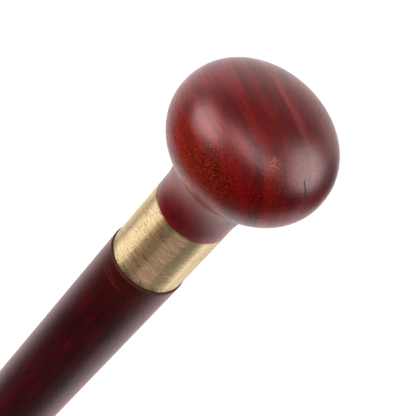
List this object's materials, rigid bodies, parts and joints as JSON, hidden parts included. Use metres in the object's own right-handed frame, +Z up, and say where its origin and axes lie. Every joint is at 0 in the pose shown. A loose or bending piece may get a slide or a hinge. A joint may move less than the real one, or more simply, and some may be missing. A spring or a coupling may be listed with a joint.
{
  "type": "walking stick",
  "caption": "Walking stick with a round turned hardwood knob on a short neck, a brass collar over its screw joint, a tapered dark hardwood shaft and a rubber tip.",
  "frame": {"origin": "middle of the rubber tip's sole, on the floor that the stick stands on", "axes": "+Z up the shaft to the knob; the stick is turned about Z, so X and Y may point anywhere"},
  "size_m": [0.0496, 0.0496, 0.914],
  "materials": {
    "red_hardwood": "streaked deep red hardwood, polished to a satin gloss",
    "dark_hardwood": "hardwood stained very dark red, satin lacquer",
    "brushed_brass": "brass brushed round the tube, lightly tarnished",
    "turned_brass": "plain turned brass",
    "plated_steel": "zinc plated steel",
    "leather": "cut brown leather",
    "black_rubber": "moulded matt black rubber"
  },
  "bodies": {
    "stick": {"shaft": "dark_hardwood", "shaft_insert": "turned_brass", "stud": "plated_steel", "collar": "brushed_brass"},
    "washer": {"joint_washer": "leather"},
    "knob": {"knob": "red_hardwood", "knob_insert": "turned_brass"},
    "tip": {"rubber_tip": "black_rubber", "tip_disc": "plated_steel"}
  },
  "joints": [
    {"name": "knob_rise", "type": "slide", "parent": "stick", "child": "washer", "axis": [0, 0, 1], "range_m": [0, 0.0161]},
    {"name": "knob_turn", "type": "hinge", "parent": "washer", "child": "knob", "pos_m": [0, 0, 0.8647], "axis": [0, 0, 1], "range_deg": [0, 2880]},
    {"name": "tip_pull", "type": "slide", "parent": "stick", "child": "tip", "axis": [0, 0, -1], "range_m": [0, 0.031]}
  ],
  "couplings": [
    {"joint": "knob_rise", "follows": "knob_turn", "m_per_rad": 0.00031831}
  ]
}
